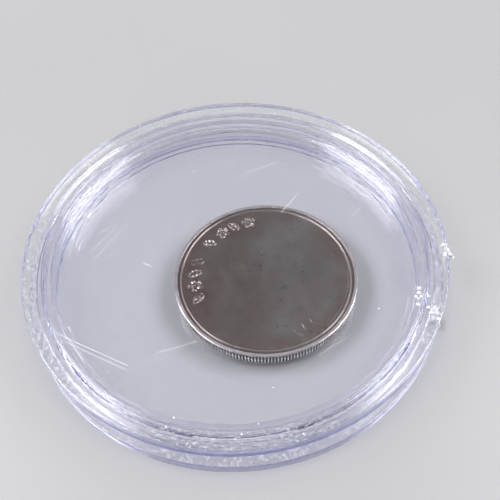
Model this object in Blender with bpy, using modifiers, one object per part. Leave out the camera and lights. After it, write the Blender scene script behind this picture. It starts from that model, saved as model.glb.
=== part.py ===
"""Round two-shell coin capsule with one coin lying loose inside.

Units are metres and +Z is up. The origin is on the capsule's axis, on the face it stands on.
The lower shell is a dish with a flange. The upper shell is a cap whose wall slides down outside
the dish's wall and snaps over a low bead. Both flanges stand out past the walls, which leaves a
groove all round for a fingernail.
"""
import math

import bmesh
import bpy

MM = 0.001

# Driving dimensions
OUTER_RADIUS = 27.0 * MM          # both flanges
CAVITY_RADIUS = 23.5 * MM         # the room for a coin of up to 47 mm
CAPSULE_HEIGHT = 6.5 * MM
FLANGE_THICKNESS = 1.75 * MM
WINDOW_THICKNESS = 1.3 * MM
WALL_THICKNESS = 0.9 * MM
GAP = 0.3 * MM                    # running gap between neighbouring pieces
EDGE_BREAK = 0.15 * MM            # small chamfer on moulded corners
LEAD_IN = 0.3 * MM                # larger chamfer where the walls slide into each other
TURN_STEPS = 96                   # facets round a turned piece

# Snap bead on the lower wall and the groove for it in the upper wall
BEAD_HEIGHT = 0.2 * MM
BEAD_HALF_WIDTH = 0.35 * MM
BEAD_LEVEL = 3.4 * MM

# Stubs left on the flange edges where the mould was filled
GATE_WIDTH = 2.4 * MM
UPPER_GATE_STAND_OUT = 0.8 * MM
LOWER_GATE_STAND_OUT = 0.3 * MM
GATE_ROOT = 0.8 * MM              # how far a stub reaches into its flange
GATE_THICKNESS = 0.8 * MM
UPPER_GATE_ANGLE = math.radians(-4.5)
LOWER_GATE_ANGLE = math.radians(-20.0)

# The coin, and where its centre lies in the capsule
COIN_RADIUS = 11.75 * MM
COIN_THICKNESS = 1.6 * MM
COIN_RIM_WIDTH = 0.9 * MM
COIN_RELIEF = 0.15 * MM           # how far the rim stands above the field
COIN_X = 3.85 * MM
COIN_Y = -2.95 * MM

# Levels and radii that follow
LOWER_WALL_RADIUS = CAVITY_RADIUS + WALL_THICKNESS
UPPER_BORE_RADIUS = LOWER_WALL_RADIUS + GAP
UPPER_WALL_RADIUS = UPPER_BORE_RADIUS + WALL_THICKNESS
CEILING = CAPSULE_HEIGHT - WINDOW_THICKNESS
LOWER_WALL_TOP = CEILING - GAP
UPPER_FLANGE_LEVEL = CAPSULE_HEIGHT - FLANGE_THICKNESS
UPPER_WALL_FOOT = FLANGE_THICKNESS + GAP
GROOVE_HALF_WIDTH = BEAD_HALF_WIDTH + GAP
COIN_Z = WINDOW_THICKNESS + GAP


def clear_scene():
    """Remove whatever the file opened with."""
    for item in list(bpy.data.objects):
        bpy.data.objects.remove(item, do_unlink=True)


def make_collection(name):
    collection = bpy.data.collections.new(name)
    bpy.context.scene.collection.children.link(collection)
    return collection


def make_material(name, colour, roughness, metallic, alpha=1.0):
    """Principled BSDF material with one plain look."""
    material = bpy.data.materials.new(name)
    material.use_nodes = True
    shader = material.node_tree.nodes["Principled BSDF"]
    shader.inputs["Base Color"].default_value = (*colour, 1.0)
    shader.inputs["Roughness"].default_value = roughness
    shader.inputs["Metallic"].default_value = metallic
    shader.inputs["Alpha"].default_value = alpha
    material.diffuse_color = (*colour, alpha)
    return material


def turned_piece(name, profile, collection, material):
    """Turn a profile of (radius, height) points about Z; it starts and ends on the axis."""
    mesh = bpy.data.meshes.new(name)
    points = [(radius, 0.0, height) for radius, height in profile]
    edges = [(index, index + 1) for index in range(len(points) - 1)]
    mesh.from_pydata(points, edges, [])
    piece = bpy.data.objects.new(name, mesh)
    collection.objects.link(piece)
    mesh.materials.append(material)
    screw = piece.modifiers.new("Turn", "SCREW")
    screw.axis = "Z"
    screw.steps = TURN_STEPS
    screw.render_steps = TURN_STEPS
    screw.use_merge_vertices = True
    screw.merge_threshold = 0.000001
    screw.use_smooth_shade = True
    return piece


def gate_stub(name, angle, level, stand_out, collection):
    """Small block across a flange's edge, its middle height at the given level."""
    mesh = bpy.data.meshes.new(name)
    shape = bmesh.new()
    bmesh.ops.create_cube(shape, size=1.0)
    depth = GATE_ROOT + stand_out
    bmesh.ops.scale(shape, vec=(depth, GATE_WIDTH, GATE_THICKNESS), verts=shape.verts)
    bmesh.ops.translate(shape, vec=(OUTER_RADIUS + stand_out - depth / 2, 0.0, level), verts=shape.verts)
    shape.to_mesh(mesh)
    shape.free()
    stub = bpy.data.objects.new(name, mesh)
    stub.rotation_euler.z = angle
    stub.display_type = "WIRE"
    stub.hide_render = True
    collection.objects.link(stub)
    return stub


def join_stub(piece, stub):
    union = piece.modifiers.new("Gate stub", "BOOLEAN")
    union.operation = "UNION"
    union.solver = "EXACT"
    union.object = stub


def lower_shell_profile():
    """Dish: window, wall with the snap bead on its outside, then the flange."""
    bead_radius = LOWER_WALL_RADIUS + BEAD_HEIGHT
    return [
        (0.0, WINDOW_THICKNESS),
        (CAVITY_RADIUS - LEAD_IN, WINDOW_THICKNESS),
        (CAVITY_RADIUS, WINDOW_THICKNESS + LEAD_IN),
        (CAVITY_RADIUS, LOWER_WALL_TOP - EDGE_BREAK),
        (CAVITY_RADIUS + EDGE_BREAK, LOWER_WALL_TOP),
        (LOWER_WALL_RADIUS - LEAD_IN, LOWER_WALL_TOP),
        (LOWER_WALL_RADIUS, LOWER_WALL_TOP - LEAD_IN),
        (LOWER_WALL_RADIUS, BEAD_LEVEL + BEAD_HALF_WIDTH),
        (bead_radius, BEAD_LEVEL + BEAD_HALF_WIDTH - BEAD_HEIGHT),
        (bead_radius, BEAD_LEVEL - BEAD_HALF_WIDTH + BEAD_HEIGHT),
        (LOWER_WALL_RADIUS, BEAD_LEVEL - BEAD_HALF_WIDTH),
        (LOWER_WALL_RADIUS, FLANGE_THICKNESS),
        (OUTER_RADIUS - EDGE_BREAK, FLANGE_THICKNESS),
        (OUTER_RADIUS, FLANGE_THICKNESS - EDGE_BREAK),
        (OUTER_RADIUS, EDGE_BREAK),
        (OUTER_RADIUS - EDGE_BREAK, 0.0),
        (0.0, 0.0),
    ]


def upper_shell_profile():
    """Cap: window and flange on top, then the outer wall with the groove in its bore."""
    groove_radius = UPPER_BORE_RADIUS + BEAD_HEIGHT
    return [
        (0.0, CAPSULE_HEIGHT),
        (OUTER_RADIUS - EDGE_BREAK, CAPSULE_HEIGHT),
        (OUTER_RADIUS, CAPSULE_HEIGHT - EDGE_BREAK),
        (OUTER_RADIUS, UPPER_FLANGE_LEVEL + EDGE_BREAK),
        (OUTER_RADIUS - EDGE_BREAK, UPPER_FLANGE_LEVEL),
        (UPPER_WALL_RADIUS, UPPER_FLANGE_LEVEL),
        (UPPER_WALL_RADIUS, UPPER_WALL_FOOT + EDGE_BREAK),
        (UPPER_WALL_RADIUS - EDGE_BREAK, UPPER_WALL_FOOT),
        (UPPER_BORE_RADIUS + LEAD_IN, UPPER_WALL_FOOT),
        (UPPER_BORE_RADIUS, UPPER_WALL_FOOT + LEAD_IN),
        (UPPER_BORE_RADIUS, BEAD_LEVEL - GROOVE_HALF_WIDTH),
        (groove_radius, BEAD_LEVEL - GROOVE_HALF_WIDTH + BEAD_HEIGHT),
        (groove_radius, BEAD_LEVEL + GROOVE_HALF_WIDTH - BEAD_HEIGHT),
        (UPPER_BORE_RADIUS, BEAD_LEVEL + GROOVE_HALF_WIDTH),
        (UPPER_BORE_RADIUS, CEILING),
        (0.0, CEILING),
    ]


def coin_profile():
    """Flat coin with a raised rim on both faces, its underside at height 0."""
    rim_inner = COIN_RADIUS - COIN_RIM_WIDTH
    return [
        (0.0, COIN_THICKNESS - COIN_RELIEF),
        (rim_inner - COIN_RELIEF, COIN_THICKNESS - COIN_RELIEF),
        (rim_inner, COIN_THICKNESS),
        (COIN_RADIUS - EDGE_BREAK, COIN_THICKNESS),
        (COIN_RADIUS, COIN_THICKNESS - EDGE_BREAK),
        (COIN_RADIUS, EDGE_BREAK),
        (COIN_RADIUS - EDGE_BREAK, 0.0),
        (rim_inner, 0.0),
        (rim_inner - COIN_RELIEF, COIN_RELIEF),
        (0.0, COIN_RELIEF),
    ]


def build():
    clear_scene()
    parts = make_collection("coin_capsule")
    cutters = make_collection("cutters")

    base_plastic = make_material("lower_shell_plastic", (0.86, 0.87, 0.92), 0.08, 0.0, 0.3)
    lower = turned_piece("lower_shell", lower_shell_profile(), parts, base_plastic)
    lower_gate_level = FLANGE_THICKNESS / 2
    lower_gate = gate_stub("lower_gate", LOWER_GATE_ANGLE, lower_gate_level, LOWER_GATE_STAND_OUT, cutters)
    join_stub(lower, lower_gate)

    lid_plastic = make_material("upper_shell_plastic", (0.86, 0.87, 0.92), 0.08, 0.0, 0.3)
    upper = turned_piece("upper_shell", upper_shell_profile(), parts, lid_plastic)
    upper_gate_level = CAPSULE_HEIGHT - FLANGE_THICKNESS / 2
    upper_gate = gate_stub("upper_gate", UPPER_GATE_ANGLE, upper_gate_level, UPPER_GATE_STAND_OUT, cutters)
    join_stub(upper, upper_gate)

    coin_metal = make_material("coin_metal", (0.46, 0.42, 0.40), 0.3, 1.0)
    coin = turned_piece("coin", coin_profile(), parts, coin_metal)
    coin.location = (COIN_X, COIN_Y, COIN_Z)


build()
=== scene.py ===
"""Looks of the clear coin capsule: smooth clear shells, worn coin, pale floor and soft studio light.

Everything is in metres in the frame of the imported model: +Z is the capsule's axis and the origin is on
the face that it stands on. Lengths are written in millimetres times MM.
"""

import math
import random

import bmesh
import bpy
from mathutils import Matrix, Vector


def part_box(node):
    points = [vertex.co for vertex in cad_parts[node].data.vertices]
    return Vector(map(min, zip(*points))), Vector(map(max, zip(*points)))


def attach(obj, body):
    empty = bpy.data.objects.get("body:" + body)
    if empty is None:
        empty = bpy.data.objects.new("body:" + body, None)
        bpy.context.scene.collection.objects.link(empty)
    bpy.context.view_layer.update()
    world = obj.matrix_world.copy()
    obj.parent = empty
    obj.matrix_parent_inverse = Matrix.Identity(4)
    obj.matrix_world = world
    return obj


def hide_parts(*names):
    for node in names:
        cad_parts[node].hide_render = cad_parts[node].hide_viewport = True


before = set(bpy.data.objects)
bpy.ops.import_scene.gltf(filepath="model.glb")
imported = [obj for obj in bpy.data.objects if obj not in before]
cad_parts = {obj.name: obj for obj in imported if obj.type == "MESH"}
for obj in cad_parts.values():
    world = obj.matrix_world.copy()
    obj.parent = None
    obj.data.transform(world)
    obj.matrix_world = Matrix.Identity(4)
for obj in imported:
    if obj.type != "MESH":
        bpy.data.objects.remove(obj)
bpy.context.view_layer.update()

MM = 0.001
TURN_STEPS = 768                  # facets round a shell
ARC_STEPS = 5                     # facets across a rounded corner
SUPPORT = 0.02 * MM               # flat strip kept beside each rounded corner
ON_AXIS = 0.0001 * MM             # a smaller radius counts as a point on the axis

# ---------------------------------------------------------------- places and sizes from the frame
_, BASE_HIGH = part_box("lower_shell")
LID_LOW, LID_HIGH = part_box("upper_shell")
COIN_LOW, COIN_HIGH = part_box("coin")

OUTER_RADIUS = BASE_HIGH.y
TOP = LID_HIGH.z
WALL_TOP = BASE_HIGH.z
LID_WALL_FOOT = LID_LOW.z
GAP = 0.3 * MM                    # kept between neighbouring pieces
CEILING = WALL_TOP + GAP
WINDOW = TOP - CEILING
FLANGE = LID_WALL_FOOT - GAP
CAVITY_RADIUS = 23.5 * MM
WALL = 0.9 * MM
BASE_WALL_RADIUS = CAVITY_RADIUS + WALL
LID_BORE_RADIUS = BASE_WALL_RADIUS + GAP
LID_WALL_RADIUS = LID_BORE_RADIUS + WALL
LID_STUB_OUT = LID_HIGH.x - OUTER_RADIUS
BASE_STUB_OUT = 0.3 * MM

COIN_CENTRE = (COIN_LOW + COIN_HIGH) / 2
COIN_RADIUS = (COIN_HIGH.x - COIN_LOW.x) / 2
COIN_THICKNESS = COIN_HIGH.z - COIN_LOW.z


# ---------------------------------------------------------------- mesh helpers
def corner_arc(before, corner, after, radius):
    """Points of a rounded corner, with a support point on each flat beside it."""
    corner = Vector(corner)
    back = (Vector(before) - corner).normalized()
    onward = (Vector(after) - corner).normalized()
    half = back.angle(onward) / 2
    reach = radius / math.tan(half)
    first = corner + back * reach
    last = corner + onward * reach
    centre = corner + (back + onward).normalized() * radius / math.sin(half)
    points = [first + back * SUPPORT]
    sweep = (first - centre).angle_signed(last - centre)
    for step in range(ARC_STEPS + 1):
        turn = Matrix.Rotation(-sweep * step / ARC_STEPS, 2)
        points.append(centre + turn @ (first - centre))
    points.append(last + onward * SUPPORT)
    return [tuple(point) for point in points]


def rounded_outline(corners):
    """Outline from (radius, height, rounding) corners; the ends and zero roundings stay sharp."""
    outline = [corners[0][:2]]
    for before, corner, after in zip(corners, corners[1:], corners[2:]):
        if corner[2] > 0:
            outline += corner_arc(before[:2], corner[:2], after[:2], corner[2])
        else:
            outline.append(corner[:2])
    outline.append(corners[-1][:2])
    return outline


def finished_mesh(name, shape, smooth=False):
    """Turn an edit mesh into mesh data and free it."""
    mesh = bpy.data.meshes.new(name)
    shape.to_mesh(mesh)
    shape.free()
    if smooth:
        mesh.shade_smooth()
    return mesh


def turned_mesh(name, outline, steps, shaped=None):
    """Surface of revolution about Z whose outline starts and ends on the axis.

    shaped(angle, radius, height) may return a changed radius and height, for reeds and relief.
    """
    shape = bmesh.new()
    rings = []
    for radius, height in outline:
        if radius < ON_AXIS:
            rings.append([shape.verts.new((0.0, 0.0, height))])
            continue
        ring = []
        for step in range(steps):
            angle = math.tau * step / steps
            reach, level = shaped(angle, radius, height) if shaped else (radius, height)
            ring.append(shape.verts.new((reach * math.cos(angle), reach * math.sin(angle), level)))
        rings.append(ring)
    for upper, lower in zip(rings, rings[1:]):
        for step in range(steps):
            following = (step + 1) % steps
            if len(upper) == 1:
                face = (upper[0], lower[step], lower[following])
            elif len(lower) == 1:
                face = (upper[following], upper[step], lower[0])
            else:
                face = (upper[following], upper[step], lower[step], lower[following])
            shape.faces.new(face)
    return finished_mesh(name, shape, smooth=True)


def add_piece(name, mesh, material, body, node=None):
    """Put a mesh in the scene as a piece that rides on a body and may stand for a CAD node."""
    piece = bpy.data.objects.new(name, mesh)
    bpy.context.scene.collection.objects.link(piece)
    mesh.materials.append(material)
    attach(piece, body)
    if node:
        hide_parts(node)


def polar(radius, degrees, height):
    """Point at a radius and azimuth round the capsule's axis."""
    angle = math.radians(degrees)
    return Vector((radius * math.cos(angle), radius * math.sin(angle), height))


def smooth_step(value):
    """Smooth rise from 0 to 1 as the value goes from 0 to 1."""
    value = min(max(value, 0.0), 1.0)
    return value * value * (3.0 - 2.0 * value)


# ---------------------------------------------------------------- materials
# Places of a Mix node's colour sockets, which share their names with its other sockets
MIX_COLOURS = (6, 7)
MIX_RESULT = 2


class Nodes:
    """Short way to add and link the nodes of one material."""

    def __init__(self, name):
        self.material = bpy.data.materials.new(name)
        self.material.use_nodes = True
        self.tree = self.material.node_tree
        self.shader = self.tree.nodes["Principled BSDF"]
        self.output = self.tree.nodes["Material Output"]
        coordinates = self.add("ShaderNodeTexCoord")
        self.position = coordinates.outputs["Object"]
        self.normal = coordinates.outputs["Normal"]

    def add(self, kind, **settings):
        node = self.tree.nodes.new(kind)
        for key, value in settings.items():
            if key in node.inputs:
                node.inputs[key].default_value = value
            else:
                setattr(node, key, value)
        return node

    def link(self, source, target):
        self.tree.links.new(source, target)

    def feed(self, node, values):
        """Link or set a node's inputs in order."""
        for socket, value in zip(node.inputs, values):
            if hasattr(value, "is_linked"):
                self.link(value, socket)
            else:
                socket.default_value = value

    def math(self, operation, *values, clamp=False):
        node = self.add("ShaderNodeMath", operation=operation, use_clamp=clamp)
        self.feed(node, values)
        return node.outputs[0]

    def vector(self, operation, *values):
        node = self.add("ShaderNodeVectorMath", operation=operation)
        self.feed(node, values)
        return node.outputs["Value" if operation in ("LENGTH", "DOT_PRODUCT") else "Vector"]

    def split(self, vector):
        """The X, Y and Z outputs of a vector."""
        node = self.add("ShaderNodeSeparateXYZ")
        self.link(vector, node.inputs[0])
        return node.outputs

    def scaled(self, vector, amount):
        """A plain vector times a linked amount."""
        node = self.add("ShaderNodeVectorMath", operation="SCALE")
        node.inputs[0].default_value = vector
        self.link(amount, node.inputs["Scale"])
        return node.outputs[0]

    def offset_from(self, centre):
        return self.vector("SUBTRACT", self.position, tuple(centre))

    def axis_radius(self, offset):
        """Distance from the Z axis through the offset's origin."""
        return self.vector("LENGTH", self.vector("MULTIPLY", offset, (1.0, 1.0, 0.0)))

    def noise(self, scale, detail=2.0, roughness=0.5, stretch=None):
        position = self.position
        if stretch:
            position = self.vector("MULTIPLY", position, stretch)
        node = self.add("ShaderNodeTexNoise", Scale=scale, Detail=detail, Roughness=roughness)
        self.link(position, node.inputs["Vector"])
        return node.outputs[0]

    def ramp(self, value, low, high, to_low=0.0, to_high=1.0):
        node = self.add("ShaderNodeMapRange")
        self.feed(node, (value, low, high, to_low, to_high))
        return node.outputs[0]

    def band(self, value, low, high, soft):
        """1 between low and high, fading to 0 over soft on both sides."""
        rising = self.ramp(value, low - soft, low)
        return self.math("MULTIPLY", rising, self.ramp(value, high, high + soft, 1.0, 0.0))

    def specks(self, scale, share, radius):
        """Small round dots: one in some cells of a Voronoi pattern, each of its own size."""
        cells = self.add("ShaderNodeTexVoronoi", Scale=scale)
        self.link(self.position, cells.inputs["Vector"])
        pick = self.split(cells.outputs["Color"])
        reach = self.ramp(pick["X"], 0.0, share, radius * scale, 0.0)
        return self.math("LESS_THAN", cells.outputs["Distance"], reach)

    def scored_line(self, start, end, half_width):
        """1 on the straight line between two points, fading to 0 at half_width from it."""
        along = Vector(end) - Vector(start)
        offset = self.offset_from(start)
        share = self.vector("DOT_PRODUCT", offset, tuple(along / along.length_squared))
        share = self.ramp(share, 0.0, 1.0)
        nearest = self.scaled(tuple(along), share)
        distance = self.vector("LENGTH", self.vector("SUBTRACT", offset, nearest))
        return self.ramp(distance, 0.0, half_width, 1.0, 0.0)

    def mix_colour(self, amount, first, second):
        node = self.add("ShaderNodeMix", data_type="RGBA")
        self.link(amount, node.inputs["Factor"])
        for place, value in zip(MIX_COLOURS, (first, second)):
            if hasattr(value, "is_linked"):
                self.link(value, node.inputs[place])
            else:
                node.inputs[place].default_value = (*value, 1.0)
        return node.outputs[MIX_RESULT]

    def bump(self, height, distance, strength=1.0):
        node = self.add("ShaderNodeBump", Strength=strength, Distance=distance)
        self.link(height, node.inputs["Height"])
        self.link(node.outputs["Normal"], self.shader.inputs["Normal"])


# Scratches on the lid's window: start and end in mm across the top, and half width in mm
SCRATCHES = [
    ((-21.1, -11.7), (-19.6, -12.6), 0.07),
    ((-19.6, -12.6), (-12.5, -16.4), 0.045),
    ((-20.8, -12.5), (-12.9, -16.8), 0.035),
    ((-19.6, -12.6), (-17.6, -15.7), 0.05),
    ((-17.7, 3.0), (-16.3, 3.9), 0.06),
    ((-16.0, 7.6), (-14.9, 7.7), 0.09),
    ((-11.6, -2.0), (-10.4, -2.7), 0.06),
    ((6.4, 5.1), (8.7, 8.1), 0.05),
    ((15.5, 3.7), (17.3, 5.5), 0.05),
    ((-18.5, -0.2), (-15.1, 4.4), 0.035),
    ((-17.8, -1.2), (-14.9, 3.2), 0.035),
    ((-9.2, -14.9), (-4.6, -13.7), 0.03),
    ((9.6, -16.0), (13.0, -14.0), 0.03),
    ((1.6, 12.4), (6.2, 14.1), 0.03),
]

# Clear polystyrene
PLASTIC_IOR = 1.57
SURFACE_TINT = (0.985, 0.985, 1.0)
EDGE_TINT = (0.60, 0.61, 0.87)             # lavender on the flanges' upright edges
THICK_TINT = (0.22, 0.26, 0.86, 1.0)       # what white light turns to on a long way through
THICK_DENSITY = 14.0
WINDOW_SHADE = (0.98, 0.98, 0.985)         # how much light a shell lets through to what it shades
FLANGE_SHADE = (0.90, 0.90, 0.93)
DUST = (560.0, 0.40, 0.11 * MM)            # cells per metre, share of cells with a speck, its radius
FLECKS = (1500.0, 0.26, 0.11 * MM)
WIPED_SPOT = (3.9 * MM, -4.6 * MM, 0.0)    # the window is free of dust round here
WIPED_RADIUS = 12.2 * MM
SCRATCH_STRENGTH = 0.9
GRAIN_FROST = 0.30                         # how white the flange's grain, the edges and the pips are
EDGE_FROST = 0.25
PIP_FROST = 0.6
LEAST_CLEAR = 0.1                          # transmission that is left in a full mark
FLANGE_GRAIN = (2600.0, 3.0)               # noise scale and detail
WINDOW_WAVE = (70.0, 1.0)
GRAIN_ROUGHNESS = 0.12
MARK_ROUGHNESS = 0.3
WAVE_HEIGHT = 0.010                        # shares of the bump depth
GRAIN_HEIGHT = 0.25
RING_HEIGHT = 0.04
BUMP_DEPTH = 0.02 * MM
RING_SPACING = 0.42 * MM                   # faint turned rings near the rim of the windows
RING_BAND = (20.6 * MM, 22.0 * MM, 0.6 * MM)


def faces_at(nodes, level, heights):
    """1 on the upper faces at the given heights."""
    mask = 0.0
    for height in heights:
        layer = nodes.band(level, height - 0.01 * MM, height + 0.20 * MM, 0.02 * MM)
        mask = nodes.math("MAXIMUM", mask, layer)
    return mask


def surface_marks(nodes, on_flange, upward, scratches):
    """Dust, flecks and scratches on the upper faces, 0 to 1."""
    flecks = nodes.math("MULTIPLY", nodes.specks(*FLECKS), on_flange)
    from_spot = nodes.axis_radius(nodes.offset_from(WIPED_SPOT))
    unwiped = nodes.ramp(from_spot, WIPED_RADIUS, WIPED_RADIUS + 0.6 * MM)
    dust = nodes.math("MULTIPLY", nodes.specks(*DUST), unwiped)
    marks = nodes.math("MULTIPLY", nodes.math("MAXIMUM", dust, flecks), upward)
    for start, end, half_width in scratches:
        ends = [(x * MM, y * MM, TOP) for x, y in (start, end)]
        line = nodes.scored_line(*ends, half_width * MM)
        marks = nodes.math("MAXIMUM", marks, nodes.math("MULTIPLY", line, SCRATCH_STRENGTH))
    return marks


def frost(nodes, radius, level, marks, grain):
    """Where the plastic is whitened: marks, the flange's grain, the upright edges and the pips."""
    upright = nodes.ramp(radius, OUTER_RADIUS - 0.025 * MM, OUTER_RADIUS - 0.01 * MM, 0.0, EDGE_FROST)
    raised = nodes.ramp(level, TOP + 0.02 * MM, TOP + 0.06 * MM)
    frosted = nodes.math("MAXIMUM", marks, nodes.math("MULTIPLY", grain, GRAIN_FROST))
    frosted = nodes.math("MAXIMUM", frosted, upright)
    return nodes.math("MAXIMUM", frosted, nodes.math("MULTIPLY", raised, PIP_FROST))


def let_light_through(nodes, on_flange):
    """Shadow and diffuse rays cross the shell in a straight line, so the floor and coin are lit."""
    clear = nodes.add("ShaderNodeBsdfTransparent")
    nodes.link(nodes.mix_colour(on_flange, WINDOW_SHADE, FLANGE_SHADE), clear.inputs["Color"])
    path = nodes.add("ShaderNodeLightPath")
    passing = nodes.math("MAXIMUM", path.outputs["Is Shadow Ray"], path.outputs["Is Diffuse Ray"])
    mix = nodes.add("ShaderNodeMixShader")
    nodes.link(passing, mix.inputs[0])
    nodes.link(nodes.shader.outputs[0], mix.inputs[1])
    nodes.link(clear.outputs[0], mix.inputs[2])
    nodes.link(mix.outputs[0], nodes.output.inputs["Surface"])


def clear_plastic(name, upper_faces, scratches=()):
    """Clear polystyrene: polished windows, flecked flange, lavender tint through thick edges.

    Dust and flecks lie only on the faces at the heights in upper_faces.
    """
    nodes = Nodes(name)
    shader = nodes.shader
    shader.inputs["IOR"].default_value = PLASTIC_IOR

    radius = nodes.axis_radius(nodes.position)
    level = nodes.split(nodes.position)["Z"]
    upward = faces_at(nodes, level, upper_faces)
    on_flange = nodes.ramp(radius, LID_BORE_RADIUS, LID_BORE_RADIUS + 0.6 * MM)
    on_edge = nodes.ramp(radius, OUTER_RADIUS - 0.04 * MM, OUTER_RADIUS - 0.01 * MM)
    nodes.link(nodes.mix_colour(on_edge, SURFACE_TINT, EDGE_TINT), shader.inputs["Base Color"])

    marks = surface_marks(nodes, on_flange, upward, scratches)
    speckled = nodes.math("MULTIPLY", on_flange, upward)
    grain = nodes.math("MULTIPLY", nodes.ramp(nodes.noise(*FLANGE_GRAIN), 0.50, 0.68), speckled)
    frosted = frost(nodes, radius, level, marks, grain)
    nodes.link(nodes.ramp(frosted, 0.0, 1.0, 1.0, LEAST_CLEAR), shader.inputs["Transmission Weight"])
    marked = nodes.math("MULTIPLY", marks, MARK_ROUGHNESS)
    roughness = nodes.math("MULTIPLY_ADD", grain, GRAIN_ROUGHNESS, marked)
    nodes.link(roughness, shader.inputs["Roughness"])

    wave = nodes.math("MULTIPLY", nodes.noise(*WINDOW_WAVE), WAVE_HEIGHT)
    rings = nodes.math("SINE", nodes.math("MULTIPLY", radius, math.tau / RING_SPACING))
    rings = nodes.math("MULTIPLY", rings, nodes.band(radius, *RING_BAND))
    height = nodes.math("ADD", wave, nodes.math("MULTIPLY", grain, GRAIN_HEIGHT))
    height = nodes.math("ADD", height, nodes.math("MULTIPLY", rings, RING_HEIGHT))
    nodes.bump(height, BUMP_DEPTH, 0.5)

    absorb = nodes.add("ShaderNodeVolumeAbsorption", Density=THICK_DENSITY)
    absorb.inputs["Color"].default_value = THICK_TINT
    nodes.link(absorb.outputs[0], nodes.output.inputs["Volume"])
    let_light_through(nodes, on_flange)
    return nodes.material


# painted shade for the cracks of a torn stub, laid where its bump is low
TORN_CRACK_PAINTED_SHADE = (0.34, 0.34, 0.42)            # in the cracks
TORN_WHITE = (1.0, 1.0, 1.0)
TORN_GRAIN = (2000.0, 4.0)


def torn_plastic(name):
    """White stressed plastic where a filling stub was broken off."""
    nodes = Nodes(name)
    nodes.shader.inputs["Transmission Weight"].default_value = LEAST_CLEAR
    nodes.shader.inputs["Roughness"].default_value = 0.3
    nodes.shader.inputs["IOR"].default_value = PLASTIC_IOR
    grain = nodes.noise(*TORN_GRAIN)
    whitened = nodes.ramp(grain, 0.38, 0.48)
    # Painted shade: the stub is darker where the grain, and so its bump, is low
    colour = nodes.mix_colour(whitened, TORN_CRACK_PAINTED_SHADE, TORN_WHITE)
    nodes.link(colour, nodes.shader.inputs["Base Color"])
    nodes.bump(grain, 0.10 * MM, 0.9)
    return nodes.material


# Coin metal
FIELD_GREY = (0.182, 0.177, 0.167)
# The next colour is warm toning darkened with painted shade, laid towards the coin's left
FIELD_WARM_AND_SHADED = (0.080, 0.044, 0.040)
TONING = (0.128, 0.084, 0.077)
MOTTLE = (0.092, 0.080, 0.076)
CREST = (0.27, 0.235, 0.225)               # worn high points of the design and of the fine rim line
# painted shade for the slopes of the relief
SLOPE_PAINTED_SHADE = (0.045, 0.034, 0.031)
GUTTER = (0.04, 0.033, 0.031)
RIM = (0.62, 0.57, 0.57)
REED = (0.86, 0.84, 0.82)
# painted shade for the grooves between the reeds
REED_GROOVE_PAINTED_SHADE = (0.015, 0.012, 0.010)
MOST_TONING = 0.7                          # how strong each layer gets
MOST_MOTTLE = 0.36
MOST_SLOPE_SHADE = 0.88
MOST_GUTTER = 0.8
BLOTCH_NOISE = (150.0, 4.0, 0.6)           # noise scale, detail and roughness
MOTTLE_NOISE = (4500.0, 3.0, 0.6)
GRAIN_NOISE = (4200.0, 2.0)
WEAR_NOISE = (420.0, 3.0, 0.6)
WEAR_ALONG = (1.0, 5.0, 1.0)               # the noise stretched into faint strokes, two ways
WEAR_ACROSS = (4.0, 1.2, 1.0)
SMOOTHEST, ROUGHEST = 0.27, 0.38
POLISH = -0.10                             # change of roughness on the high points and the rim


def field_colour(nodes, radius, across):
    """Satin field: warmer and darker towards the coin's left (real toning with painted shade against the
    left soft box), toned near the rim, finely mottled.
    """
    blotch = nodes.ramp(nodes.noise(*BLOTCH_NOISE), 0.38, 0.62)
    # Painted shade: the field is made darker as well as warmer towards the coin's left, where the left
    # soft box lights it more
    towards_left = nodes.ramp(across, -COIN_RADIUS, 0.2 * COIN_RADIUS, 0.9, 0.0)
    warm = nodes.math("MULTIPLY_ADD", blotch, 0.45, towards_left, clamp=True)
    field = nodes.mix_colour(warm, FIELD_GREY, FIELD_WARM_AND_SHADED)
    near_rim = nodes.band(radius, FIELD_RADIUS - 0.7 * MM, FIELD_RADIUS, 1.2 * MM)
    toning = nodes.math("MULTIPLY", nodes.math("MULTIPLY", near_rim, MOST_TONING), blotch)
    mottle = nodes.ramp(nodes.noise(*MOTTLE_NOISE), 0.40, 0.64, 0.0, MOST_MOTTLE)
    return nodes.mix_colour(mottle, nodes.mix_colour(toning, field, TONING), MOTTLE)


def slope_painted_shade(nodes, radius):
    """Painted shade on the slopes inside the rim, read from how far the surface leans."""
    tilt = nodes.split(nodes.normal)["Z"]
    sloping = nodes.ramp(nodes.math("ABSOLUTE", tilt), 0.86, 0.62)
    within = nodes.ramp(radius, RIM_RADIUS - 0.06 * MM, RIM_RADIUS - 0.02 * MM, 1.0, 0.0)
    return nodes.math("MULTIPLY", nodes.math("MULTIPLY", sloping, within), MOST_SLOPE_SHADE)


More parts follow.
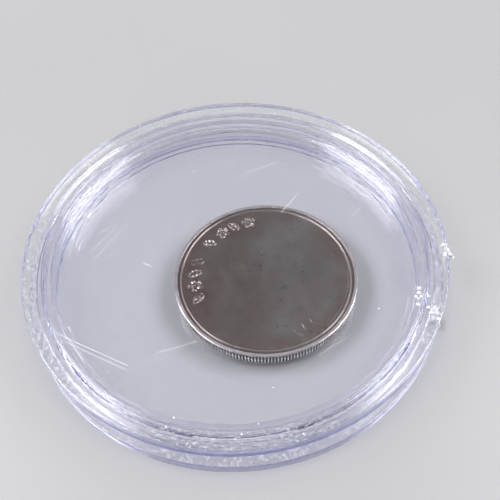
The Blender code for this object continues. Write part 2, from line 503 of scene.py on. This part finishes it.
def worn_coin(name):
    """Circulated cupro-nickel: warm satin field, worn bright high points, painted shade on the slopes of
    the relief and between the reeds, a darker gutter.
    """
    nodes = Nodes(name)
    shader = nodes.shader
    shader.inputs["Metallic"].default_value = 1.0
    offset = nodes.offset_from(COIN_CENTRE)
    radius = nodes.axis_radius(offset)
    axes = nodes.split(offset)
    from_middle = nodes.math("ABSOLUTE", axes["Z"])
    level = nodes.math("SUBTRACT", from_middle, COIN_THICKNESS / 2 - RELIEF)

    on_field = nodes.ramp(radius, FIELD_RADIUS - 0.1 * MM, FIELD_RADIUS, 1.0, 0.0)
    crest = nodes.math("MULTIPLY", nodes.ramp(level, 0.05 * MM, 0.10 * MM), on_field)
    metal = nodes.mix_colour(crest, field_colour(nodes, radius, axes["X"]), CREST)
    on_line = nodes.band(radius, RIM_LINE_RADIUS - 0.05 * MM, RIM_LINE_RADIUS + 0.05 * MM, 0.05 * MM)
    metal = nodes.mix_colour(on_line, metal, CREST)
    # Painted shade darkens the slopes of the relief inside the rim
    metal = nodes.mix_colour(slope_painted_shade(nodes, radius), metal, SLOPE_PAINTED_SHADE)
    gutter = nodes.band(radius, GUTTER_RADIUS - 0.03 * MM, GUTTER_RADIUS + 0.03 * MM, 0.03 * MM)
    metal = nodes.mix_colour(nodes.math("MULTIPLY", gutter, MOST_GUTTER), metal, GUTTER)
    on_rim = nodes.ramp(radius, RIM_RADIUS - 0.06 * MM, RIM_RADIUS - 0.02 * MM)
    metal = nodes.mix_colour(on_rim, metal, RIM)

    turn = nodes.math("ARCTAN2", axes["Y"], axes["X"])
    wave = nodes.math("COSINE", nodes.math("MULTIPLY", turn, float(REEDS)))
    on_edge = nodes.ramp(radius, COIN_RADIUS - 0.2 * MM, COIN_RADIUS - 0.14 * MM)
    on_reeds = nodes.band(axes["Z"], -REED_REACH, REED_REACH, 0.04 * MM)
    reeded = nodes.math("MULTIPLY", on_edge, on_reeds)
    # Painted shade in the grooves between the reeds
    between_reeds = nodes.math("MULTIPLY", nodes.ramp(wave, 0.6, -0.15), reeded)
    metal = nodes.mix_colour(reeded, metal, REED)
    nodes.link(nodes.mix_colour(between_reeds, metal, REED_GROOVE_PAINTED_SHADE), shader.inputs["Base Color"])

    grain = nodes.noise(*GRAIN_NOISE)
    marks = nodes.math(
        "ADD", nodes.noise(*WEAR_NOISE, WEAR_ALONG), nodes.noise(*WEAR_NOISE, WEAR_ACROSS))
    polish = nodes.math("MULTIPLY", nodes.math("MAXIMUM", on_rim, crest), POLISH)
    roughness = nodes.math("ADD", nodes.ramp(marks, 0.7, 1.3, SMOOTHEST, ROUGHEST), polish)
    nodes.link(roughness, shader.inputs["Roughness"])
    height = nodes.math("ADD", nodes.math("MULTIPLY", marks, 0.35), nodes.math("MULTIPLY", grain, 0.25))
    nodes.bump(height, BUMP_DEPTH, 0.4)
    return nodes.material


FLOOR_TONES = ((0.345, 0.345, 0.353), (0.365, 0.365, 0.373))


def floor_paint(name):
    """Plain pale paint with the faintest unevenness."""
    nodes = Nodes(name)
    tone = nodes.mix_colour(nodes.noise(30.0, 3.0), *FLOOR_TONES)
    nodes.link(tone, nodes.shader.inputs["Base Color"])
    nodes.shader.inputs["Roughness"].default_value = 0.4
    return nodes.material


# ---------------------------------------------------------------- shells
EDGE = 0.12 * MM                  # rounding of the flanges' outer corners
FOOT = 0.2 * MM                   # rounding where a wall meets a window
STEP_IN = 0.8 * MM                # width of the low step round the lower window
STEP_UP = 0.12 * MM               # height of that step
BEAD = 0.2 * MM                   # height of the snap bead and depth of its groove
BEAD_HALF = 0.35 * MM             # half the bead's width
BEAD_LEVEL = 3.4 * MM


def base_outline():
    """Dish: window, low step, wall with the snap bead on its outside, then the flange."""
    return rounded_outline([
        (0.0, WINDOW, 0),
        (CAVITY_RADIUS - STEP_IN, WINDOW, 0.06 * MM),
        (CAVITY_RADIUS - STEP_IN + STEP_UP, WINDOW + STEP_UP, 0.05 * MM),
        (CAVITY_RADIUS, WINDOW + STEP_UP, FOOT),
        (CAVITY_RADIUS, WALL_TOP, 0.1 * MM),
        (BASE_WALL_RADIUS, WALL_TOP, 0.2 * MM),
        (BASE_WALL_RADIUS, BEAD_LEVEL + BEAD_HALF, 0.08 * MM),
        (BASE_WALL_RADIUS + BEAD, BEAD_LEVEL, 0.15 * MM),
        (BASE_WALL_RADIUS, BEAD_LEVEL - BEAD_HALF, 0.08 * MM),
        (BASE_WALL_RADIUS, FLANGE, 0.12 * MM),
        (OUTER_RADIUS, FLANGE, EDGE),
        (OUTER_RADIUS, 0.0, EDGE),
        (0.0, 0.0, 0),
    ])


def lid_outline():
    """Cap: window and flange on top, then the outer wall with the groove in its bore."""
    return rounded_outline([
        (0.0, TOP, 0),
        (OUTER_RADIUS, TOP, EDGE),
        (OUTER_RADIUS, TOP - FLANGE, EDGE),
        (LID_WALL_RADIUS, TOP - FLANGE, 0.1 * MM),
        (LID_WALL_RADIUS, LID_WALL_FOOT, 0.12 * MM),
        (LID_BORE_RADIUS, LID_WALL_FOOT, 0.2 * MM),
        (LID_BORE_RADIUS, BEAD_LEVEL - BEAD_HALF - GAP, 0.08 * MM),
        (LID_BORE_RADIUS + BEAD, BEAD_LEVEL, 0.15 * MM),
        (LID_BORE_RADIUS, BEAD_LEVEL + BEAD_HALF + GAP, 0.08 * MM),
        (LID_BORE_RADIUS, CEILING, FOOT),
        (0.0, CEILING, 0),
    ])


# Lumps of a torn stub in mm: centre, its X counted from the stub's tip, and half size along X, Y and Z
STUB_LUMPS = [
    ((-1.15, 0.85, 0.0), (0.50, 0.42, 0.42)),
    ((-0.85, 0.25, 0.1), (0.52, 0.42, 0.40)),
    ((-0.60, -0.30, 0.0), (0.46, 0.46, 0.40)),
    ((-0.35, -0.80, 0.0), (0.46, 0.26, 0.30)),
    ((-1.20, -0.65, 0.1), (0.30, 0.40, 0.35)),
]
LEAST_REACH = 0.5                 # share of a lump's size that is left where it is torn deepest
REACH_SPREAD = 0.6
TEAR_POWER = 1.6                  # above 1, deep tears are more common than shallow ones
# Stubs: angle, level, how far they stand out and seed
UPPER_STUB = (math.radians(-4.5), TOP - FLANGE / 2, LID_STUB_OUT, 8)
LOWER_STUB = (math.radians(-20.0), FLANGE / 2, BASE_STUB_OUT, 5)


def torn_stub(name, angle, level, stand_out, seed):
    """Ragged remains of a filling stub: lumps that reach out past the flange as far as stand_out."""
    draw = random.Random(seed)
    shape = bmesh.new()
    tip = stand_out / MM
    for (x, y, z), size in STUB_LUMPS:
        centre = Vector((tip + x, y, z))
        made = bmesh.ops.create_icosphere(shape, subdivisions=3, radius=1.0)
        for vert in made["verts"]:
            way = vert.co.normalized()
            ragged = LEAST_REACH + REACH_SPREAD * draw.random() ** TEAR_POWER
            vert.co = (centre + Vector(way[i] * size[i] for i in range(3)) * ragged) * MM
    for vert in shape.verts:
        vert.co.x = min(vert.co.x, stand_out)
    bmesh.ops.translate(shape, vec=(OUTER_RADIUS, 0.0, level), verts=shape.verts)
    turn = Matrix.Rotation(angle, 3, "Z")
    bmesh.ops.rotate(shape, cent=(0.0, 0.0, 0.0), matrix=turn, verts=shape.verts)
    return finished_mesh(name, shape)


# Round pips beside the wall: radius from the axis in mm, azimuth in degrees, size in mm
PIPS = [
    (23.57, -19.6, 0.26),
    (23.65, -21.2, 0.26),
    (23.44, -22.8, 0.22),
    (24.00, -22.3, 0.22),
    (23.77, -23.3, 0.20),
    (23.94, -25.1, 0.28),
    (24.82, -21.6, 0.22),
    (25.12, -25.1, 0.26),
    (25.62, -26.5, 0.26),
]
PIP_HEIGHT = 0.18 * MM
PIP_SINK = 0.05                   # share of its height that a pip reaches into the lid


def pip_mesh(name):
    """Low domes on the lid's top face."""
    shape = bmesh.new()
    for reach, azimuth, size in PIPS:
        made = bmesh.ops.create_uvsphere(shape, u_segments=20, v_segments=12, radius=1.0)
        place = polar(reach * MM, azimuth, TOP)
        for vert in made["verts"]:
            height = max(vert.co.z, -PIP_SINK) * PIP_HEIGHT
            vert.co = place + Vector((vert.co.x * size * MM, vert.co.y * size * MM, height))
    return finished_mesh(name, shape, smooth=True)


def make_shells():
    """The two clear shells with their torn stubs, and the pips on the lid."""
    base_plastic = clear_plastic("clear_plastic_base", (WINDOW, FLANGE))
    lid_plastic = clear_plastic("clear_plastic_lid", (TOP,), SCRATCHES)
    torn = torn_plastic("torn_plastic")
    base = turned_mesh("base_clear", base_outline(), TURN_STEPS)
    lid = turned_mesh("lid_clear", lid_outline(), TURN_STEPS)
    add_piece("base_clear_shell", base, base_plastic, "base", "lower_shell")
    add_piece("lid_clear_shell", lid, lid_plastic, "lid", "upper_shell")
    lower_stub = torn_stub("lower_stub", *LOWER_STUB)
    upper_stub = torn_stub("upper_stub", *UPPER_STUB)
    add_piece("base_torn_stub", lower_stub, torn, "base")
    add_piece("lid_torn_stub", upper_stub, torn, "lid")
    add_piece("lid_mould_pips", pip_mesh("lid_mould_pips"), lid_plastic, "lid")


# ---------------------------------------------------------------- coin
REEDS = 185
STEPS_PER_REED = 6
REED_DEPTH = 0.16 * MM
REED_EDGE = 0.14 * MM             # plain lip above and below the reeds
REED_REACH = COIN_THICKNESS / 2 - REED_EDGE
RELIEF = 0.15 * MM                # how far the rim stands above the field
FIELD_RADIUS = COIN_RADIUS - 1.1 * MM
RIM_RADIUS = COIN_RADIUS - 0.42 * MM
GUTTER_RADIUS = COIN_RADIUS - 0.52 * MM
RIM_LINE_RADIUS = COIN_RADIUS - 0.84 * MM
ORNAMENT_RADIUS = 9.1 * MM
ORNAMENT_SCALE = 1.2              # times the sizes given with the ornaments' shapes
ORNAMENT_REACH = 1.2 * MM         # half the width of the ring that holds the ornaments
ORNAMENT_RISE = 0.15 * MM
RING_STEP = 0.06 * MM             # spacing of the rings that carry relief
BORDER_BEADS = 150                # faint beads round the edge of the field
BORDER_RISE = 0.03 * MM
BORDER_RADIUS = FIELD_RADIUS - 0.22 * MM
BORDER_HALF_WIDTH = 0.16 * MM
NEAR = 0.01 * MM                  # tolerance when a point's place on the coin is judged

# Ornaments on the coin's faces: azimuth in degrees, kind and how much of it wear has left
UPPER_ORNAMENTS = [
    (102.0, "rosette", 1.0),
    (114.7, "leaf", 1.0),
    (126.5, "rosette", 0.95),
    (141.5, "leaf", 1.0),
    (162.5, "leaf", 0.55),
    (174.5, "leaf", 0.9),
    (186.5, "rosette", 1.0),
    (199.0, "leaf", 1.0),
    (294.0, "leaf", 0.32),
    (302.0, "leaf", 0.36),
    (310.0, "leaf", 0.34),
]
LOWER_ORNAMENTS = [(15.0 * place, ("leaf", "rosette")[place % 2], 0.9) for place in range(24)]


# Shapes of the ornaments; lengths are in mm at ornament scale 1, depths are shares of the height
SLOPE = 0.10                      # width of the slope along an outline
LEAF_LEAN = math.radians(28.0)
LEAF_HALF_LENGTH = 0.92
LEAF_HALF_WIDTH = 0.50
VEIN_WIDTH = 0.09
VEIN_DEPTH = 0.95
BARB_SPACING = 0.44
BARB_DEPTH = 0.6
PETALS = 5
PETAL_FOOT = 0.40                 # radius of the rosette's outline between two petals
PETAL_LENGTH = 0.42               # how much further out a petal's tip is
PETAL_ROUNDING = 0.6
PETAL_START = 0.28                # inner radius of the petals
PETAL_START_SLOPE = 0.09
SPLIT_WIDTH = 0.03                # fine cut along the middle of a petal
SPLIT_DEPTH = 0.8
VALLEY_HEIGHT = 0.35              # what is left of the height between two petals
EYE_RADIUS = 0.19                 # the bead in the rosette's middle
EYE_SLOPE = 0.08


def leaf(along, across):
    """Pointed leaf with a vein and barbs, leaning across the ring; result 0 to 1."""
    length = along * math.cos(LEAF_LEAN) + across * math.sin(LEAF_LEAN)
    width = across * math.cos(LEAF_LEAN) - along * math.sin(LEAF_LEAN)
    half = LEAF_HALF_WIDTH * (1.0 - (length / LEAF_HALF_LENGTH) ** 2)
    vein = VEIN_DEPTH * math.exp(-(width / VEIN_WIDTH) ** 2)
    wave = math.cos(math.tau * (length - abs(width)) / BARB_SPACING)
    barbs = BARB_DEPTH * (0.5 + 0.5 * wave)
    return smooth_step((half - abs(width)) / SLOPE) * (1.0 - vein) * (1.0 - barbs)


def rosette(along, across):
    """Petals round a bead; result 0 to 1."""
    distance = math.hypot(along, across)
    petal = abs(math.cos(PETALS / 2 * math.atan2(across, along)))    # 1 along a petal's middle
    outline = PETAL_FOOT + PETAL_LENGTH * petal ** PETAL_ROUNDING
    inside = smooth_step((outline - distance) / SLOPE)
    petals = inside * smooth_step((distance - PETAL_START) / PETAL_START_SLOPE)
    domed = VALLEY_HEIGHT + (1.0 - VALLEY_HEIGHT) * petal
    split = SPLIT_DEPTH * math.exp(-((petal - 1.0) / SPLIT_WIDTH) ** 2)
    eye = smooth_step((EYE_RADIUS - distance) / EYE_SLOPE)
    return max(petals * domed * (1.0 - split), eye)


KINDS = {"leaf": leaf, "rosette": rosette}


def relief(angle, radius, ornaments):
    """Height of the struck design above the field at one point of a face."""
    rise = 0.0
    if abs(radius - ORNAMENT_RADIUS) < ORNAMENT_REACH:
        size = ORNAMENT_SCALE * MM
        for azimuth, kind, left in ornaments:
            turn = (angle - math.radians(azimuth) + math.pi) % math.tau - math.pi
            across = turn * ORNAMENT_RADIUS
            if abs(across) < ORNAMENT_REACH:
                rise += left * KINDS[kind]((radius - ORNAMENT_RADIUS) / size, across / size)
    from_border = abs(radius - BORDER_RADIUS)
    if from_border < BORDER_HALF_WIDTH:
        swell = 0.5 + 0.5 * math.cos(BORDER_BEADS * angle)
        fade = smooth_step(1.0 - from_border / BORDER_HALF_WIDTH)
        return ORNAMENT_RISE * rise + BORDER_RISE * swell * fade
    return ORNAMENT_RISE * rise


def face_rings():
    """Radii of the rings across the field, closer where there is relief."""
    inner = ORNAMENT_RADIUS - ORNAMENT_REACH
    radii = [inner * share for share in (0.35, 0.7, 0.9)]
    count = int((FIELD_RADIUS - 0.03 * MM - inner) / RING_STEP)
    return radii + [inner + RING_STEP * ring for ring in range(count + 1)]


def coin_outline():
    """Both faces with field, rim line, gutter and rim, and the edge that carries the reeds."""
    half = COIN_THICKNESS / 2
    line_top = half - 0.06 * MM
    line_foot = half - 0.11 * MM
    gutter_floor = half - 0.14 * MM
    upper = [
        *((radius, half - RELIEF, 0) for radius in face_rings()),
        (FIELD_RADIUS + 0.02 * MM, half - RELIEF, 0.05 * MM),
        (RIM_LINE_RADIUS - 0.12 * MM, line_foot, 0.03 * MM),
        (RIM_LINE_RADIUS - 0.04 * MM, line_top, 0.03 * MM),
        (RIM_LINE_RADIUS + 0.04 * MM, line_top, 0.03 * MM),
        (RIM_LINE_RADIUS + 0.12 * MM, line_foot, 0.03 * MM),
        (GUTTER_RADIUS - 0.06 * MM, line_foot, 0.02 * MM),
        (GUTTER_RADIUS - 0.02 * MM, gutter_floor, 0.015 * MM),
        (GUTTER_RADIUS + 0.02 * MM, gutter_floor, 0.015 * MM),
        (RIM_RADIUS, half, 0.03 * MM),
        (COIN_RADIUS, half, 0.09 * MM),
    ]
    lower = [(radius, -height, rounding) for radius, height, rounding in reversed(upper)]
    reeds = [(COIN_RADIUS, REED_REACH, 0), (COIN_RADIUS, REED_REACH - 0.05 * MM, 0)]
    reeds += [(radius, -height, 0) for radius, height, _ in reversed(reeds)]
    ends = [(0.0, half - RELIEF, 0), (0.0, RELIEF - half, 0)]
    return rounded_outline([ends[0], *upper, *reeds, *lower, ends[1]])


def struck(angle, radius, height):
    """Reeds on the coin's edge and relief on its two faces."""
    if radius > COIN_RADIUS - NEAR and abs(height) < REED_REACH - NEAR:
        return radius - REED_DEPTH * (0.5 - 0.5 * math.cos(REEDS * angle)), height
    if radius < FIELD_RADIUS:
        upper = height > 0
        rise = relief(angle, radius, UPPER_ORNAMENTS if upper else LOWER_ORNAMENTS)
        return radius, height + rise * (1 if upper else -1)
    return radius, height


def make_coin():
    """The coin as one turned piece, where the frame says that it lies."""
    mesh = turned_mesh("coin_body", coin_outline(), REEDS * STEPS_PER_REED, struck)
    mesh.transform(Matrix.Translation(COIN_CENTRE))
    add_piece("coin_body", mesh, worn_coin("coin_cupronickel"), "loose_coin", "coin")


# ---------------------------------------------------------------- camera, lights and floor
VIEW_ELEVATION = math.radians(53.27)
VIEW_DISTANCE = 89.4 * MM
VIEW_ROLL = math.radians(2.83)
AIM_RIGHT = 2.0 * MM              # where the camera aims, from the middle of the lid's top
AIM_UP = -0.69 * MM
LENS = 50.4                       # mm, on a sensor 36 mm wide
SENSOR = 36.0


def make_camera():
    """Camera in front of the capsule, looking down on it from the photograph's side."""
    data = bpy.data.cameras.new("camera")
    data.lens = LENS
    data.sensor_width = SENSOR
    data.clip_start = 1.0 * MM
    camera = bpy.data.objects.new("camera", data)
    bpy.context.scene.collection.objects.link(camera)
    back = Vector((0.0, -math.cos(VIEW_ELEVATION), math.sin(VIEW_ELEVATION)))
    right = Vector((1.0, 0.0, 0.0))
    up = back.cross(right)
    place = Vector((0.0, 0.0, TOP)) + back * VIEW_DISTANCE + right * AIM_RIGHT + up * AIM_UP
    axes = Matrix((right, up, back)).transposed() @ Matrix.Rotation(-VIEW_ROLL, 3, "Z")
    camera.matrix_world = Matrix.Translation(place) @ axes.to_4x4()
    bpy.context.scene.camera = camera


# Soft boxes: name, azimuth from +X towards +Y and elevation in degrees, distance and size in
# metres, and watts
LIGHTS = [
    ("right_softbox", 6.0, 50.0, 0.6, (0.42, 0.26), 3.7),
    ("left_softbox", 178.0, 50.0, 0.6, (0.42, 0.26), 4.2),
    ("back_card", 92.0, 52.0, 0.8, (1.0, 0.90), 1.0),
    ("back_strip", 92.0, 16.0, 0.8, (1.8, 0.22), 1.6),
    ("front_card", -90.0, 24.0, 0.8, (0.60, 0.20), 0.5),
]
DARK_ROOM = (0.05, 0.05, 0.055, 1.0)       # what the surfaces see round them
BACKDROP = (0.52, 0.52, 0.53, 1.0)         # what the camera sees behind the floor
FLOOR_DROP = 0.04 * MM                     # keeps the floor from touching the capsule's underside
FLOOR_HALF_WIDTH = 1.5


def area_light(name, azimuth, elevation, distance, size, power):
    """Soft box that faces the capsule."""
    data = bpy.data.lights.new(name, "AREA")
    data.shape = "RECTANGLE"
    data.size, data.size_y = size
    data.energy = power
    light = bpy.data.objects.new(name, data)
    bpy.context.scene.collection.objects.link(light)
    level = math.radians(elevation)
    towards = polar(math.cos(level), azimuth, math.sin(level))
    light.location = towards * distance
    light.rotation_mode = "QUATERNION"
    light.rotation_quaternion = towards.to_track_quat("Z", "Y")


def make_floor():
    """Plain floor just under the capsule."""
    shape = bmesh.new()
    bmesh.ops.create_grid(shape, x_segments=1, y_segments=1, size=FLOOR_HALF_WIDTH)
    mesh = finished_mesh("floor", shape)
    floor = bpy.data.objects.new("floor", mesh)
    floor.location.z = -FLOOR_DROP
    bpy.context.scene.collection.objects.link(floor)
    mesh.materials.append(floor_paint("floor_paint"))


def make_world():
    """Pale backdrop for the camera and a dark room for everything else."""
    world = bpy.data.worlds.new("studio")
    world.use_nodes = True
    tree = world.node_tree
    path = tree.nodes.new("ShaderNodeLightPath")
    tone = tree.nodes.new("ShaderNodeMix")
    tone.data_type = "RGBA"
    for place, colour in zip(MIX_COLOURS, (DARK_ROOM, BACKDROP)):
        tone.inputs[place].default_value = colour
    tree.links.new(path.outputs["Is Camera Ray"], tone.inputs["Factor"])
    tree.links.new(tone.outputs[MIX_RESULT], tree.nodes["Background"].inputs["Color"])
    bpy.context.scene.world = world


# Light that runs inside a window bounces some 50 times
BOUNCES = 80
TRANSPARENT_BOUNCES = 48


def set_render_look():
    scene = bpy.context.scene
    scene.view_settings.view_transform = "Standard"
    scene.cycles.max_bounces = BOUNCES
    scene.cycles.transmission_bounces = BOUNCES
    scene.cycles.glossy_bounces = BOUNCES
    scene.cycles.transparent_max_bounces = TRANSPARENT_BOUNCES


def main():
    make_camera()
    make_floor()
    make_world()
    for light in LIGHTS:
        area_light(*light)
    set_render_look()
    make_shells()
    make_coin()


main()
